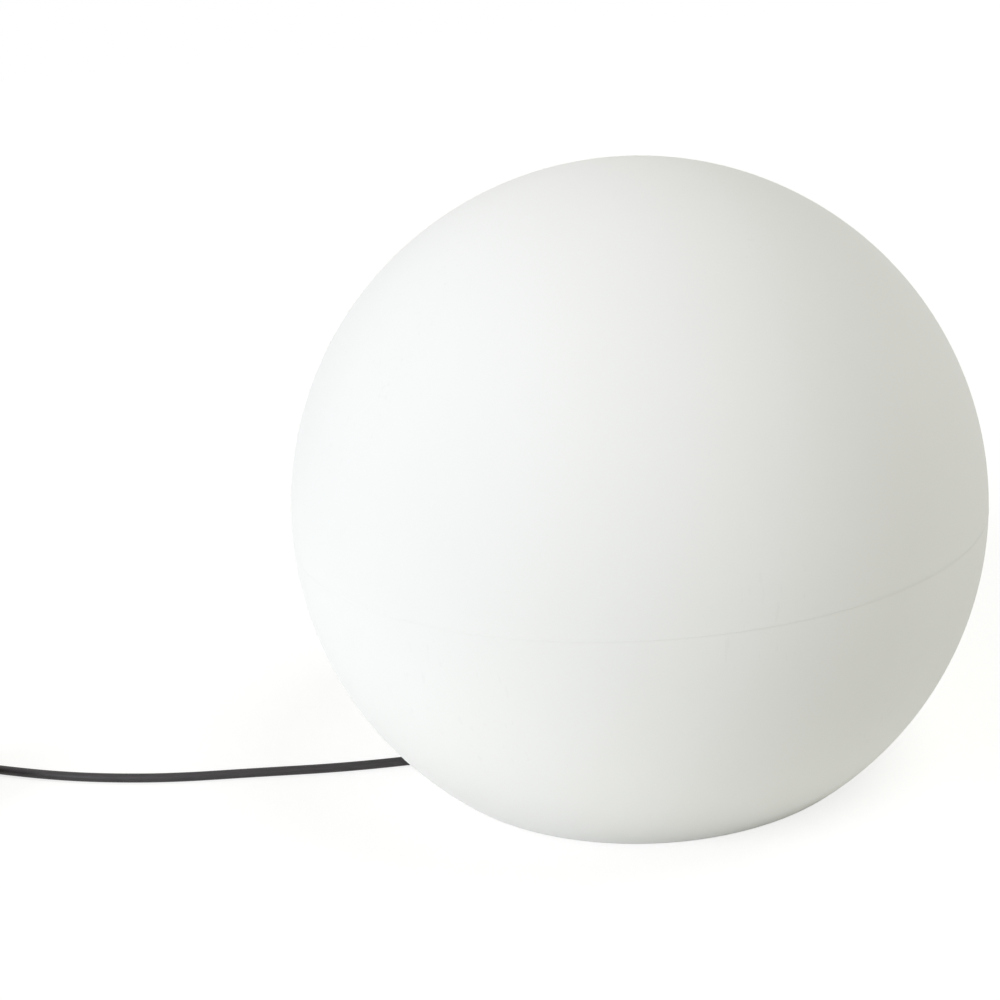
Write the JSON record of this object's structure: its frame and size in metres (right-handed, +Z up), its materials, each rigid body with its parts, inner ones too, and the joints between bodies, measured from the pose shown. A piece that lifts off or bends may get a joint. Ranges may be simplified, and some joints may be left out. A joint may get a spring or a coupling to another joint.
{
  "type": "garden globe light",
  "caption": "White garden globe that stands on a flat ring, over a twist-lock lamp base with an E27 bulb and a rubber mains cord.",
  "frame": {"origin": "on the globe's vertical axis, at the floor that its standing ring rests on", "axes": "+Z up along the globe's axis; the cord leaves the base towards -X"},
  "size_m": [0.871, 0.5006, 0.4369],
  "materials": {
    "globe_white": "matt rotomoulded polyethylene",
    "base_grey": "moulded, fine texture",
    "black_rubber": "matt",
    "gland_black": "satin",
    "zinc_steel": "zinc plated",
    "holder_black": "moulded thermoset",
    "terminal_white": "moulded",
    "contact_brass": "bright",
    "live_brown": "smooth",
    "neutral_blue": "smooth",
    "bulb_white": "smooth",
    "bulb_diffuser": "matt diffusing",
    "cap_nickel": "nickel plated",
    "insulator_black": "glassy",
    "board_green": "laminate",
    "board_alu": "white solder mask",
    "chip_yellow": "phosphor"
  },
  "bodies": {
    "base": {"base_housing": "base_grey", "base_gasket": "black_rubber", "terminal_cover": "base_grey", "cover_gasket": "black_rubber", "cover_screws": "zinc_steel", "gland_ring": "black_rubber", "gland_body": "gland_black", "gland_seal": "black_rubber", "gland_cap": "gland_black", "gland_locknut": "gland_black", "cord_entry": "black_rubber", "cord_core_live": "live_brown", "cord_core_neutral": "neutral_blue", "terminal_block": "terminal_white", "terminal_sleeves": "contact_brass", "terminal_screws": "zinc_steel", "terminal_block_screw": "zinc_steel", "wire_live": "live_brown", "wire_neutral": "neutral_blue", "holder_nipple": "zinc_steel", "nipple_nuts": "zinc_steel", "holder_dome": "holder_black", "holder_core": "terminal_white", "holder_screws": "zinc_steel", "centre_contact": "contact_brass", "side_contact": "contact_brass", "thread_sleeve": "contact_brass", "holder_skirt": "holder_black", "cord_lead": "black_rubber", "cord_coil": "black_rubber", "cord_tail": "black_rubber", "plug_boot": "black_rubber", "plug_body": "black_rubber", "plug_pins": "cap_nickel"},
    "globe": {"globe_upper": "globe_white", "globe_lower": "globe_white", "globe_recess": "globe_white"},
    "bulb": {"bulb_contact": "zinc_steel", "bulb_insulator": "insulator_black", "bulb_cap": "cap_nickel", "bulb_housing": "bulb_white", "driver_board": "board_green", "led_board": "board_alu", "led_chips": "chip_yellow", "bulb_dome": "bulb_diffuser"}
  },
  "joints": [
    {"name": "globe_turn", "type": "hinge", "parent": "base", "child": "globe", "pos_m": [0, 0, 0], "axis": [0, 0, 1], "range_deg": [0, 20]},
    {"name": "bulb_out", "type": "slide", "parent": "base", "child": "bulb", "axis": [0, 0, 1], "range_m": [0, 0.028]}
  ]
}
